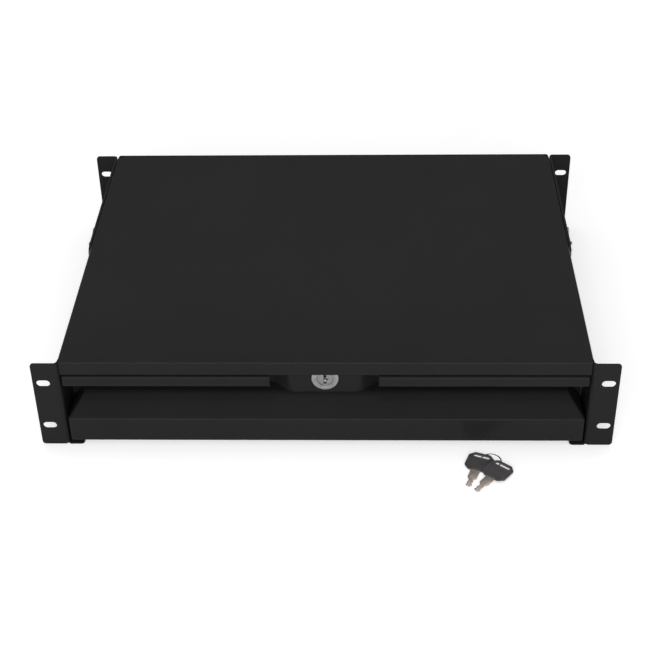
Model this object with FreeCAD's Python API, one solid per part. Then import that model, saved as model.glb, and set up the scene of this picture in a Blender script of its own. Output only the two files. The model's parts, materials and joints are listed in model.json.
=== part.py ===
"""Lockable two-unit drawer for a 19 inch rack: case, ball slides, drawer, cam lock, rear brackets and keys.

Millimetres.  X runs across the rack, Y into it, Z up.  The origin is the centre of the front mounting slots,
in the plane where the ears bear on the rack rails.  Paired parts are built on the +X side and mirrored.
"""
import FreeCAD
import Part
import itertools
import math
import os

V = FreeCAD.Vector

# ---------------------------------------------------------------- driving dimensions
# rack standard
RACK_WIDTH = 482.6              # over the mounting ears
EAR_HEIGHT = 85.2
EAR_REACH = 22.0                # from the case wall to the ear's outer edge
EAR_CORNER = 3.0
SLOT_INSET = 8.75               # from the ear's outer edge to the middle of its slots
HOLE_SPACING_Z = 44.45
SLOT_LENGTH = 11.4
SLOT_WIDTH = 6.6

# case: one folded sheet with top, side walls, bottom flanges, ears and a front lip, closed by a rear panel
CASE_DEPTH = 350.0
CASE_T = 1.2
TOP_OVER_EARS = 0.8             # how far the case's top stands over the ears
BOTTOM_UNDER_EARS = 1.2
EAR_BEND = 3.0                  # inside radius of the bend from side wall to ear
BEND = 1.0                      # inside radius of every other case bend
BOTTOM_FLANGE = 13.4
FLANGE_CORNER = 3.0
LIP_HEIGHT = 14.0
LIP_RETURN = 7.0
REAR_FLANGE = 12.0
RELIEF = 2.0                    # notch beside a bend, so that the sheet can fold
FIT_GAP = 0.3                   # clearance between folded edges
FLAT_GAP = 0.1                  # clearance between flat pieces that lie on each other
OVERCUT = 1.0                   # how far a cutter runs past the faces it cuts

# drawer front: folded sheet with a finger recess behind two handle strips
FRONT_SIDE_GAP = 1.3            # between the front's ends and the case walls
FRONT_T = 1.2
FRONT_FACE_Y = -1.0
LIP_GAP = 0.6                   # between the case lip and the handle strips
DRAWER_LIFT = 4.2               # of the drawer front's underside over the case's underside
STRIP_HEIGHT = 10.4
STRIP_RETURN = 5.0
STRIP_CORNER = 2.0
NOTCH_WIDTH = 90.0
FACE_HEIGHT = 23.6              # of the lower face, up to the fold
SLOPE_HEIGHT = 15.0             # of the sloped face above the fold
LEDGE_Y = 18.0                  # top edge of the sloped face
LEDGE_BEND = 8.0
HIP_RUN = 13.0                  # how far the ends of the sloped face run in
RECESS_Y = 34.0                 # back of the finger recess
FRONT_CORNER = 3.0
FRONT_BOTTOM_FLANGE = 14.0      # turned back under the tray
FLANGE_SCREW_INSET = 6.0        # from that flange's rear edge

# lock panel: hat-shaped plate in the notch that carries the lock
PANEL_FLAT = 60.0
PANEL_FOOT = 9.0
PANEL_BEND = 10.0

# drawer tray
TRAY_T = 1.2
TRAY_DROP = 1.8                 # of the tray's rim under the drawer front's top
TRAY_HEM = 6.0
BUMPER_LENGTH = 14.5            # rubber buffers between the closed tray and the rear panel
BUMPER_R = 7.0
BUMPER_INSET = 30.0             # from the tray's side
BARB_LENGTH = 1.5
BARB_REACH = 1.2                # of the barb past its stem

# ball slides, three members a side
SLIDE_START_GAP = 2.8           # behind the tray's front wall
SLIDE_END_GAP = 4.0             # ahead of the tray's rear wall
SLIDE_HEIGHT = 45.0
SLIDE_DEPTH = 12.7
SLIDE_T = 1.1
SLIDE_BEND = 0.5
TRAVEL = 290.0                  # of the drawer; the middle members travel half of it
BALL_R = 1.75
RACE_GAP = 0.15
BALL_ROW_OUTER = 5.4            # distance of the outer ball rows from the case wall
BALL_ROW_INNER = 8.8
BALL_SEAT = 1.2                 # from ball centre to the flat of the flange beside it
MID_WEB = 2.6                   # distance of the middle member's web from the case wall
OUTER_TIP = 8.0                 # distance of each member's flange tips from the case wall
MID_TIP = 11.0
INNER_TIP = 6.3
CAGE_T = 0.5
CAGE_WIDTH = 5.0
CAGE_MARGIN = 7.5               # at each end of the cages, with the drawer fully out
BALL_COUNT = 4
WALL_GAP = 0.2                  # between slide and drawer side
ACCESS_GAP = 1.5                # round the screw heads, in the holes that give access to them
INNER_HEAD_T = 1.8

# cam lock
LOCK_RISE = 15.1                # of the lock's axis over the ledge
LOCK_FACE_R = 11.7
LOCK_FACE_T = 2.2
LOCK_BEVEL = 0.9
BARREL_R = 9.4
BARREL_LENGTH = 21.0
BARREL_FLATS = 16.5
BARREL_GAP = 0.1                # round the barrel, in the panel and the nut
PLUG_R = 7.0
PLUG_GAP = 0.05
DISH = 0.5                      # depth and width of the dish round the plug
KEYWAY_WIDTH = 2.4
KEYWAY_HEIGHT = 10.5
KEYWAY_DEPTH = 18.0
WARD_HEIGHT = 1.7
LOCK_NUT_AF = 22.5
LOCK_NUT_T = 4.0
CAM_LENGTH = 26.0
CAM_WIDTH = 12.0
CAM_CORNER = 4.0
CAM_T = 2.0
CAM_SQUARE = 7.0
CAM_SCREW_HEAD_R = 5.5
CAM_SCREW_HEAD_T = 2.2
CAM_SCREW_GRIP = 2.5            # of its shank in the plug
PLUG_INSET = 0.3                # of the plug behind the lock's face
WALL_HOLE_GAP = 1.5             # round the barrel, in the walls that it passes through
KEEPER_T = 1.5
KEEPER_GAP = 1.2
KEEPER_WIDTH = 44.0
KEEPER_FLANGE = 12.0
KEEPER_RISE = 2.7               # of the keeper's lower edge over the drawer front's top

# rear brackets
BRACKET_T = 2.0
BRACKET_BEND = 2.0
BRACKET_ARM = 177.0
BRACKET_CORNER = 9.0
BRACKET_GAP = 0.3
BRACKET_TRAVEL = 75.0
BOLT_INSET = 8.6                # from the arm's upper and lower edges
BOLT_SPACING = 25.0
BOLT_END = 17.0                 # first bolt behind the arm's front end
BOLT_R = 2.4
BOLT_SLOT = 5.6
BOLT_HEAD_R = 4.5
BOLT_HEAD_T = 2.4
NUT_AF = 8.0
NUT_T = 3.5

# small fasteners
SCREW_R = 1.9
SCREW_HOLE_GAP = 0.05
SCREW_HEAD_R = 3.5
SCREW_HEAD_T = 1.0
SHEET_SCREW_LENGTH = 5.0

# keys
KEY_HEAD_T = 1.3
KEY_BLADE_T = 0.9
KEY_HEAD_WIDTH = 22.0
KEY_HEAD_HEIGHT = 22.0
KEY_HEAD_CORNER = 4.4
KEY_BLADE_LENGTH = 21.5
KEY_BLADE_WIDTH = 8.0
KEY_TIP_WIDTH = 5.5
KEY_STEP = 2.0                  # length of each taper of the blade, and of its root in the head
KEY_SHOULDER = 9.7              # from the head to the blade's narrower part
KEY_SLOT_LENGTH = 14.0
KEY_SLOT_WIDTH = 3.0
KEY_RIM = 2.4                   # between the slot and the end of the head
RING_R = 9.0
RING_WIRE = 1.1
RING_HEIGHT = 0.8
RING_PLACE = (138.5, -21.0)
KEY_LIFT = RING_HEIGHT + FLAT_GAP           # the lower key lies on the ring
KEY_STACK = KEY_LIFT + KEY_HEAD_T + FLAT_GAP
# name, neck on the ground, turn about Z, height over the ground
KEYS = [("a", (124.6, -34.5), -20.7, KEY_LIFT), ("b", (136.1, -44.8), -38.5, KEY_STACK)]

# ---------------------------------------------------------------- derived places
EAR_HALF = EAR_HEIGHT / 2
EAR_END = RACK_WIDTH / 2
SLOT_X = EAR_END - SLOT_INSET
WALL_OUT = EAR_END - EAR_REACH
WALL_IN = WALL_OUT - CASE_T
CASE_TOP = EAR_HALF + TOP_OVER_EARS
CASE_BOTTOM = -EAR_HALF - BOTTOM_UNDER_EARS
REAR_SEAT = CASE_DEPTH - CASE_T             # rear flanges end here, and the rear panel closes them
FRONT_HALF = WALL_IN - FRONT_SIDE_GAP
FRONT_TOP = CASE_TOP - LIP_HEIGHT - LIP_GAP
FRONT_BOTTOM = CASE_BOTTOM + DRAWER_LIFT
FOLD_Z = FRONT_BOTTOM + FACE_HEIGHT
LEDGE_Z = FOLD_Z + SLOPE_HEIGHT
LOCK_Z = LEDGE_Z + LOCK_RISE
HIP_END = FRONT_HALF - HIP_RUN
PANEL_END = NOTCH_WIDTH / 2 + PANEL_FOOT
TRAY_SIDE = WALL_IN - SLIDE_DEPTH - WALL_GAP
TRAY_FRONT_Y = RECESS_Y + FRONT_T
TRAY_REAR_Y = REAR_SEAT - BUMPER_LENGTH - FIT_GAP
TRAY_BOTTOM = FRONT_BOTTOM + FRONT_T
TRAY_TOP = FRONT_TOP - TRAY_DROP
FLANGE_END_Y = TRAY_FRONT_Y + FRONT_BOTTOM_FLANGE
SLIDE_Z = (TRAY_BOTTOM + TRAY_TOP) / 2
SLIDE_START_Y = TRAY_FRONT_Y + SLIDE_START_GAP
SLIDE_LENGTH = TRAY_REAR_Y - SLIDE_END_GAP - SLIDE_START_Y
CAGE_LENGTH = SLIDE_LENGTH - TRAVEL / 2 - 2 * CAGE_MARGIN
BUMPER_X = TRAY_SIDE - BUMPER_INSET
RACE_R = BALL_R + RACE_GAP
ROW_OUTER_Z = SLIDE_HEIGHT / 2 - SLIDE_T - RACE_R
MID_TOP = ROW_OUTER_Z - BALL_SEAT
ROW_INNER_Z = MID_TOP - SLIDE_T - BALL_SEAT
INNER_TOP = ROW_INNER_Z - BALL_SEAT
OUTER_TOP = ROW_OUTER_Z + BALL_SEAT + SLIDE_T
CAM_Y = LEDGE_Y + BARREL_LENGTH + DISH
KEEPER_BOTTOM = FRONT_TOP + KEEPER_RISE
BRACKET_IN = WALL_OUT + BRACKET_GAP
BRACKET_OUT = BRACKET_IN + BRACKET_T
ARM_FRONT_Y = CASE_DEPTH - BRACKET_ARM
BOLT_Z = EAR_HALF - BOLT_INSET
BOLT_PLACES = [ARM_FRONT_Y + BOLT_END + i * BOLT_SPACING for i in (0, 1)]

# ---------------------------------------------------------------- shape helpers
PLACE = {
    "xy": lambda a, b, at: V(a, b, at),
    "xz": lambda a, b, at: V(a, at, b),
    "yz": lambda a, b, at: V(at, a, b),
}
ACROSS = {"xy": V(0, 0, 1), "xz": V(0, 1, 0), "yz": V(1, 0, 0)}
ROUND_END = 0.999               # share of a slot's half width that its corners are rounded by


def outline(points, radii, plane, at):
    """Closed face through points in one plane, each corner rounded by its radius."""
    corners = [PLACE[plane](a, b, at) for a, b in points]
    count = len(corners)
    if not isinstance(radii, list):
        radii = [radii] * count
    arrive, leave, arcs = [], [], []
    for i, corner in enumerate(corners):
        back = (corners[i - 1] - corner).normalize()
        ahead = (corners[(i + 1) % count] - corner).normalize()
        if radii[i] <= 0:
            arrive.append(corner)
            leave.append(corner)
            arcs.append(None)
            continue
        half = back.getAngle(ahead) / 2
        reach = radii[i] / math.tan(half)
        centre = corner + (back + ahead).normalize() * (radii[i] / math.sin(half))
        middle = centre + (corner - centre).normalize() * radii[i]
        arrive.append(corner + back * reach)
        leave.append(corner + ahead * reach)
        arcs.append(middle)
    edges = []
    for i in range(count):
        if leave[i - 1].distanceToPoint(arrive[i]) > 1e-6:
            edges.append(Part.LineSegment(leave[i - 1], arrive[i]).toShape())
        if arcs[i] is not None:
            edges.append(Part.Arc(arrive[i], arcs[i], leave[i]).toShape())
    return Part.Face(Part.Wire(edges))


def prism(points, plane, start, end, radii=0):
    """Solid with that outline, from start to end across its plane."""
    return outline(points, radii, plane, start).extrude(ACROSS[plane] * (end - start))


def folded(path, thickness, bend, plane, start, end):
    """Folded sheet: path is one face of its section and the sheet lies to the left of it."""
    def left(a, b):
        length = math.hypot(b[0] - a[0], b[1] - a[1])
        return -(b[1] - a[1]) / length, (b[0] - a[0]) / length

    normals = [left(a, b) for a, b in zip(path, path[1:])]
    near_radii, far, far_radii = [], [], []
    for i, (a, b) in enumerate(path):
        first = normals[max(i - 1, 0)]
        second = normals[min(i, len(normals) - 1)]
        share = thickness / (1 + first[0] * second[0] + first[1] * second[1])
        far.append((a + (first[0] + second[0]) * share, b + (first[1] + second[1]) * share))
        turn = first[0] * second[1] - first[1] * second[0]
        inside = bend if turn else 0
        outside = bend + thickness if turn else 0
        near_radii.append(outside if turn > 0 else inside)
        far_radii.append(inside if turn > 0 else outside)
    return prism(path + far[::-1], plane, start, end, near_radii + far_radii[::-1])


def block(x0, x1, y0, y1, z0, z1):
    return Part.makeBox(x1 - x0, y1 - y0, z1 - z0, V(x0, y0, z0))


def mirrored(shape):
    return shape.mirror(V(0, 0, 0), V(1, 0, 0))


def both_sides(shape):
    return [shape, mirrored(shape)]


def round_bar(radius, base, direction, length, sides=24):
    """Round bar drawn with flats between corners that lie on its radius."""
    return bar(sides, radius * math.cos(math.pi / sides), base, direction, length)


def slot(length, width, x, z, y0, y1):
    """Round-ended slot along X through a plate that faces Y."""
    dx, dz = length / 2, width / 2
    points = [(x - dx, z - dz), (x + dx, z - dz), (x + dx, z + dz), (x - dx, z + dz)]
    return prism(points, "xz", y0, y1, dz * ROUND_END)


def bar(sides, radius, base, direction, length):
    """Bar with that many flats around it, radius from its axis to each flat."""
    corner = radius / math.cos(math.pi / sides)
    turns = [2 * math.pi * (i + 0.5) / sides for i in range(sides + 1)]
    wire = Part.makePolygon([V(corner * math.cos(turn), corner * math.sin(turn), 0) for turn in turns])
    solid = Part.Face(wire).extrude(V(0, 0, length))
    solid.Placement = FreeCAD.Placement(V(*base), FreeCAD.Rotation(V(0, 0, 1), V(*direction)))
    return solid


def through(sheet, base, direction, radius=SCREW_R):
    """Cutter for a screw's hole through a sheet that starts at base; like the shank it has six flats."""
    start = V(*base) - V(*direction) * OVERCUT
    return bar(6, radius + SCREW_HOLE_GAP, tuple(start), direction, sheet + 2 * OVERCUT)


def screw(base, direction, shank, head_r=SCREW_HEAD_R, head_t=SCREW_HEAD_T, shank_r=SCREW_R, sides=8):
    """Screw whose head sits at base; direction points out of the head and the shank runs the other way."""
    head = bar(sides, head_r, base, direction, head_t)
    start = V(*base) - V(*direction) * shank
    return head.fuse(bar(6, shank_r, tuple(start), direction, shank))


def save(name, shapes):
    """One STEP file for each node; a list of shapes becomes a group of separate solids."""
    shape = Part.makeCompound(shapes) if isinstance(shapes, list) else shapes
    if len(shape.Solids) == 1:
        shape = shape.Solids[0]
    shape.exportStep("parts/" + name + ".step")


# ---------------------------------------------------------------- case
def rear_screw_places():
    side = WALL_OUT - REAR_FLANGE / 2
    top = CASE_TOP - REAR_FLANGE / 2
    columns = [(s * side, share * EAR_HALF) for s in (-1, 1) for share in (-0.55, 0, 0.55)]
    return columns + [(s * WALL_OUT / 2, top) for s in (-1, 1)]


def slide_screw_places():
    return [SLIDE_START_Y + share * SLIDE_LENGTH for share in (0.08, 0.5, 0.92)]


def front_ear(depth):
    """Ear and the bend that joins it to the side wall, which goes on to that depth."""
    path = [(EAR_END, 0), (WALL_OUT, 0), (WALL_OUT, depth)]
    ear = folded(path, CASE_T, EAR_BEND, "xy", -EAR_HALF, EAR_HALF)
    start = WALL_IN - OVERCUT
    view = [(start, -EAR_HALF), (EAR_END, -EAR_HALF), (EAR_END, EAR_HALF), (start, EAR_HALF)]
    ear = ear.common(prism(view, "xz", -CASE_T - OVERCUT, depth + OVERCUT, [0, EAR_CORNER, EAR_CORNER, 0]))
    return ear.cut([slot(SLOT_LENGTH, SLOT_WIDTH, SLOT_X, z, -CASE_T - OVERCUT, OVERCUT)
                    for z in (-HOLE_SPACING_Z / 2, HOLE_SPACING_Z / 2)])


def front_foot(depth):
    """Front end of the bottom flange, with its bend up to the ear."""
    inner = WALL_OUT - BOTTOM_FLANGE
    top = CASE_BOTTOM + CASE_T + BEND
    path = [(inner, CASE_BOTTOM), (WALL_OUT, CASE_BOTTOM), (WALL_OUT, top)]
    foot = folded(path, CASE_T, BEND, "xz", 0, depth)
    plan = [(inner, 0), (WALL_OUT, 0), (WALL_OUT, depth), (inner, depth)]
    return foot.common(prism(plan, "xy", CASE_BOTTOM, top, [FLANGE_CORNER, 0, 0, 0]))


def case_shell():
    ear_start = EAR_BEND + RELIEF
    rear_start = REAR_SEAT - CASE_T - BEND - RELIEF
    flange_in = WALL_OUT - BOTTOM_FLANGE
    main = folded(
        [(flange_in, CASE_BOTTOM), (WALL_OUT, CASE_BOTTOM), (WALL_OUT, CASE_TOP),
         (-WALL_OUT, CASE_TOP), (-WALL_OUT, CASE_BOTTOM), (-flange_in, CASE_BOTTOM)],
        CASE_T, BEND, "xz", ear_start, rear_start)
    lip_end = WALL_IN - FIT_GAP
    lip = folded(
        [(ear_start, CASE_TOP), (0, CASE_TOP), (0, CASE_TOP - LIP_HEIGHT),
         (LIP_RETURN, CASE_TOP - LIP_HEIGHT)],
        CASE_T, BEND, "yz", -lip_end, lip_end)
    rear_half = WALL_OUT - CASE_T - BEND - RELIEF
    rear_flange = folded(
        [(REAR_SEAT, CASE_TOP - REAR_FLANGE), (REAR_SEAT, CASE_TOP), (rear_start, CASE_TOP)],
        CASE_T, BEND, "yz", -rear_half, rear_half)
    wall_top = CASE_TOP - CASE_T - BEND - FIT_GAP
    side_flange = folded(
        [(WALL_OUT, rear_start), (WALL_OUT, REAR_SEAT), (WALL_OUT - REAR_FLANGE, REAR_SEAT)],
        CASE_T, BEND, "xy", -wall_top, wall_top - REAR_FLANGE)
    parts = [lip, rear_flange]
    for piece in (front_ear(ear_start), front_foot(ear_start), side_flange):
        parts += both_sides(piece)
    shell = main.multiFuse(parts).removeSplitter()
    cuts = [through(CASE_T, (x, REAR_SEAT - CASE_T, z), (0, 1, 0)) for x, z in rear_screw_places()]
    for y in slide_screw_places():
        cuts += both_sides(through(CASE_T, (WALL_IN, y, SLIDE_Z), (1, 0, 0)))
    for y in BOLT_PLACES:
        for z in (-BOLT_Z, BOLT_Z):
            cuts += both_sides(through(CASE_T, (WALL_IN, y, z), (1, 0, 0), BOLT_R))
    return shell.cut(cuts)


def rear_panel():
    half = WALL_OUT - FIT_GAP
    top, bottom = CASE_TOP - FIT_GAP, CASE_BOTTOM + FIT_GAP
    plate = prism([(-half, bottom), (half, bottom), (half, top), (-half, top)],
                  "xz", REAR_SEAT, CASE_DEPTH, FLANGE_CORNER)
    holes = rear_screw_places() + [(-BUMPER_X, SLIDE_Z), (BUMPER_X, SLIDE_Z)]
    return plate.cut([through(CASE_T, (x, REAR_SEAT, z), (0, 1, 0)) for x, z in holes])


def rear_bumpers():
    """Rubber buffers pushed into the rear panel; the closed drawer stops just short of them."""
    pieces = []
    for x in (-BUMPER_X, BUMPER_X):
        pad = round_bar(BUMPER_R, (x, REAR_SEAT, SLIDE_Z), (0, -1, 0), BUMPER_LENGTH, 16)
        stem = bar(6, SCREW_R, (x, REAR_SEAT, SLIDE_Z), (0, 1, 0), CASE_T)
        barb = bar(6, SCREW_R + BARB_REACH, (x, CASE_DEPTH, SLIDE_Z), (0, 1, 0), BARB_LENGTH)
        pieces.append(pad.fuse([stem, barb]))
    return pieces


def rear_screws():
    return [screw((x, CASE_DEPTH, z), (0, 1, 0), SHEET_SCREW_LENGTH) for x, z in rear_screw_places()]


def keeper():
    """Angle under the top that the raised cam catches behind."""
    rear = CAM_Y - KEEPER_GAP
    under = CASE_TOP - CASE_T
    half = KEEPER_WIDTH / 2
    return folded([(rear, KEEPER_BOTTOM), (rear, under), (rear - KEEPER_T - KEEPER_FLANGE, under)],
                  KEEPER_T, BEND, "yz", -half, half)


# ---------------------------------------------------------------- ball slides, built on the +X side
def ball_rows(z_of_row, from_wall):
    return [(WALL_IN - from_wall, SLIDE_Z + sign * z_of_row, sign) for sign in (-1, 1)]


def raceway(member, rows, side, y0, y1):
    """Form a race round each ball row: a bulge of sheet thickness on one side of the row, then the groove."""
    length = y1 - y0
    for x, z, sign in rows:
        bulge = bar(8, RACE_R + SLIDE_T, (x, y0, z), (0, 1, 0), length)
        edge = z + sign * side * BALL_SEAT * 2 / 3
        far = z + sign * side * SLIDE_HEIGHT
        keep = block(x - SLIDE_DEPTH, x + SLIDE_DEPTH, y0, y1, min(edge, far), max(edge, far))
        member = member.fuse(bulge.common(keep))
    grooves = [bar(8, RACE_R, (x, y0 - OVERCUT, z), (0, 1, 0), length + 2 * OVERCUT) for x, z, sign in rows]
    return member.cut(grooves)


def channel(web, tip, top, y0, y1):
    """C section with its web at one distance from the case wall and its flange tips at another."""
    web_x, tip_x = WALL_IN - web, WALL_IN - tip
    path = [(tip_x, SLIDE_Z - top), (web_x, SLIDE_Z - top), (web_x, SLIDE_Z + top), (tip_x, SLIDE_Z + top)]
    if tip_x > web_x:
        path = path[::-1]
    return folded(path, SLIDE_T, SLIDE_BEND, "xz", y0, y1)


def slide_members():
    y0, y1 = SLIDE_START_Y, SLIDE_START_Y + SLIDE_LENGTH
    outer_rows = ball_rows(ROW_OUTER_Z, BALL_ROW_OUTER)
    inner_rows = ball_rows(ROW_INNER_Z, BALL_ROW_INNER)
    outer = raceway(channel(0, OUTER_TIP, OUTER_TOP, y0, y1), outer_rows, 1, y0, y1)
    middle = raceway(channel(MID_WEB, MID_TIP, MID_TOP, y0, y1), outer_rows, -1, y0, y1)
    middle = raceway(middle, inner_rows, 1, y0, y1)
    inner = raceway(channel(SLIDE_DEPTH, INNER_TIP, INNER_TOP, y0, y1), inner_rows, -1, y0, y1)
    for y in slide_screw_places():
        outer = outer.cut(through(SLIDE_T, (WALL_IN - SLIDE_T, y, SLIDE_Z), (1, 0, 0)))
        base = (WALL_IN - MID_WEB - SLIDE_T, y, SLIDE_Z)
        middle = middle.cut(through(SLIDE_T, base, (1, 0, 0), SCREW_HEAD_R + ACCESS_GAP))
    for y in inner_screw_places():
        inner = inner.cut(through(SLIDE_T, (WALL_IN - SLIDE_DEPTH, y, SLIDE_Z), (1, 0, 0)))
    return outer.removeSplitter(), middle.removeSplitter(), inner.removeSplitter()


def inner_screw_places():
    return [SLIDE_START_Y + share * SLIDE_LENGTH for share in (0.14, 0.44, 0.86)]


def ball(centre):
    """Bearing ball drawn with twenty facets, whose corners lie on BALL_R."""
    golden = (1 + math.sqrt(5)) / 2
    corners = []
    for a in (-1, 1):
        for b in (-golden, golden):
            corners += [V(0, a, b), V(a, b, 0), V(b, 0, a)]
    edge = 2
    faces = []
    for trio in itertools.combinations(corners, 3):
        longest = max(a.distanceToPoint(b) for a, b in itertools.combinations(trio, 2))
        if longest < edge * 1.01:
            faces.append(Part.Face(Part.makePolygon(list(trio) + [trio[0]])))
    shape = Part.Solid(Part.Shell(faces))
    shape.scale(BALL_R / math.hypot(1, golden))
    shape.translate(centre)
    return shape


def cage_and_balls(row_z, from_wall):
    """Flat retainers with a pocket for each ball, above and below."""
    y0 = SLIDE_START_Y + (SLIDE_LENGTH - CAGE_LENGTH) / 2
    y1 = y0 + CAGE_LENGTH
    pitch = CAGE_LENGTH / BALL_COUNT
    half = CAGE_WIDTH / 2
    strips, balls = [], []
    for x, z, sign in ball_rows(row_z, from_wall):
        strip = block(x - half, x + half, y0, y1, z - CAGE_T / 2, z + CAGE_T / 2)
        places = [V(x, y0 + pitch * (i + 0.5), z) for i in range(BALL_COUNT)]
        pockets = [bar(6, RACE_R, (x, p.y, z - CAGE_T), (0, 0, 1), 2 * CAGE_T) for p in places]
        strips.append(strip.cut(pockets))
        balls += [ball(p) for p in places]
    return strips, balls


def outer_slide_screws():
    pieces = []
    for y in slide_screw_places():
        pieces += both_sides(screw((WALL_IN - SLIDE_T, y, SLIDE_Z), (-1, 0, 0), SLIDE_T + CASE_T,
                                   head_t=MID_WEB - SLIDE_T - 2 * WALL_GAP))
    return pieces


def inner_slide_screws():
    pieces = []
    seat = WALL_IN - SLIDE_DEPTH + SLIDE_T
    for y in inner_screw_places():
        shank = SLIDE_T + WALL_GAP + TRAY_T
        pieces += both_sides(screw((seat, y, SLIDE_Z), (1, 0, 0), shank, head_t=INNER_HEAD_T))
    return pieces


# ---------------------------------------------------------------- drawer
def front_screw_places():
    """Screws through the back of the recess into the tray's front wall."""
    first = PANEL_END + 2 * SCREW_HEAD_R
    last = HIP_END - 3 * SCREW_HEAD_R
    return [(s * x, LOCK_Z) for s in (-1, 1) for x in (first, (first + last) / 2, last)]


def flange_screw_places():
    """Screws down through the tray's floor into the drawer front's bottom flange."""
    return [(share * TRAY_SIDE, FLANGE_END_Y - FLANGE_SCREW_INSET) for share in (-0.85, -0.3, 0.1, 0.85)]


def box_form(inset):
    """Lower part of the drawer front, a box with a sloped and hipped top; inset shrinks it by a wall."""
    slope = math.atan2(SLOPE_HEIGHT, LEDGE_Y - FRONT_FACE_Y)
    shift = inset * math.tan((math.pi / 2 - slope) / 2)
    drop = inset * math.tan(slope / 2)
    face, bottom, ledge = FRONT_FACE_Y + inset, FRONT_BOTTOM + inset, LEDGE_Z - inset
    rear, end = TRAY_FRONT_Y + inset, FRONT_HALF - inset
    section = [(face, bottom), (face, FOLD_Z - shift), (LEDGE_Y + drop, ledge), (rear, ledge), (rear, bottom)]
    side = prism(section, "yz", -end, end, [0, 0, LEDGE_BEND - inset, 0, 0])
    hip = math.atan2(SLOPE_HEIGHT, HIP_RUN)
    hip_shift = inset * math.tan((math.pi / 2 - hip) / 2)
    hip_drop = inset * math.tan(hip / 2)
    half = [(end, bottom), (end, FOLD_Z - hip_shift), (HIP_END - hip_drop, ledge)]
    front = prism(half + [(-x, z) for x, z in half[::-1]], "xz", face, rear)
    return side.common(front).removeSplitter()


def front_box():
    """Thin-walled box, open behind, with soft edges."""
    solid = box_form(0)
    edges = [edge for edge in solid.Edges if edge.BoundBox.YMin < TRAY_FRONT_Y - FIT_GAP]
    return solid.makeFillet(BEND + FRONT_T, edges).cut(box_form(FRONT_T))


def drawer_front():
    t = FRONT_T
    inside = FRONT_FACE_Y + t
    under_hood = FRONT_TOP - t
    strip_bottom = FRONT_TOP - STRIP_HEIGHT
    half = FRONT_HALF - FIT_GAP
    hood = folded(
        [(inside + STRIP_RETURN, strip_bottom + t), (inside, strip_bottom + t), (inside, under_hood),
         (RECESS_Y, under_hood), (RECESS_Y, FOLD_Z)],
        t, BEND, "yz", -half, half)
    notch = NOTCH_WIDTH / 2
    ahead, behind = FRONT_FACE_Y - OVERCUT, LEDGE_Y - STRIP_CORNER
    opening = [(-notch, ahead), (notch, ahead), (notch, behind), (-notch, behind)]
    corners = [0, 0, STRIP_CORNER, STRIP_CORNER]
    hood = hood.cut(prism(opening, "xy", strip_bottom - OVERCUT, FRONT_TOP + OVERCUT, corners))
    tab = TRAY_SIDE - TRAY_T - BEND
    flange = prism([(-tab, RECESS_Y), (tab, RECESS_Y), (tab, FLANGE_END_Y), (-tab, FLANGE_END_Y)],
                   "xy", FRONT_BOTTOM, TRAY_BOTTOM, [0, 0, FRONT_CORNER, FRONT_CORNER])
    front = front_box().multiFuse([hood, flange]).removeSplitter()
    cuts = [through(t, (x, RECESS_Y, z), (0, 1, 0)) for x, z in front_screw_places()]
    cuts += [through(t, (x, y, FRONT_BOTTOM), (0, 0, 1)) for x, y in flange_screw_places()]
    return front.cut(cuts + [lock_opening(RECESS_Y)])


def lock_opening(y):
    """Cutter for the lock's way through a wall whose front is at y."""
    return round_bar(BARREL_R + WALL_HOLE_GAP, (0, y - OVERCUT, LOCK_Z), (0, 1, 0), TRAY_T + 2 * OVERCUT)


def lock_panel():
    """Hat section between the ledge and the hood; its raised middle holds the lock."""
    flat = PANEL_FLAT / 2
    notch = NOTCH_WIDTH / 2
    back = RECESS_Y - FRONT_T
    path = [(-PANEL_END, back), (-notch, back), (-flat, LEDGE_Y),
            (flat, LEDGE_Y), (notch, back), (PANEL_END, back)]
    plate = folded(path, FRONT_T, PANEL_BEND, "xy", LEDGE_Z, FRONT_TOP - FRONT_T - BEND)
    hole = round_bar(BARREL_R + BARREL_GAP, (0, LEDGE_Y - OVERCUT, LOCK_Z), (0, 1, 0), FRONT_T + 2 * OVERCUT)
    return plate.cut(hole)


def drawer_tray():
    t = TRAY_T
    side = TRAY_SIDE
    main = folded(
        [(-side + TRAY_HEM, TRAY_TOP), (-side, TRAY_TOP), (-side, TRAY_BOTTOM),
         (side, TRAY_BOTTOM), (side, TRAY_TOP), (side - TRAY_HEM, TRAY_TOP)],
        t, BEND, "xz", TRAY_FRONT_Y + t + FIT_GAP, TRAY_REAR_Y - t - FIT_GAP)
    half = side - t - FIT_GAP
    ends = folded(
        [(TRAY_FRONT_Y, TRAY_TOP), (TRAY_FRONT_Y, TRAY_BOTTOM),
         (TRAY_REAR_Y, TRAY_BOTTOM), (TRAY_REAR_Y, TRAY_TOP)],
        t, BEND, "yz", -half, half)
    tray = main.fuse(ends).removeSplitter()
    cuts = [through(t, (x, TRAY_FRONT_Y, z), (0, 1, 0)) for x, z in front_screw_places()]
    cuts += [through(t, (x, y, TRAY_BOTTOM), (0, 0, 1)) for x, y in flange_screw_places()]
    for y in inner_screw_places():
        cuts += both_sides(through(t, (side - t, y, SLIDE_Z), (1, 0, 0)))
    return tray.cut(cuts + [lock_opening(TRAY_FRONT_Y)])


def front_screws():
    shank = TRAY_T + FRONT_T
    back = [screw((x, TRAY_FRONT_Y + TRAY_T, z), (0, 1, 0), shank) for x, z in front_screw_places()]
    floor = [screw((x, y, TRAY_BOTTOM + TRAY_T), (0, 0, 1), shank) for x, y in flange_screw_places()]
    return back + floor


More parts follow.
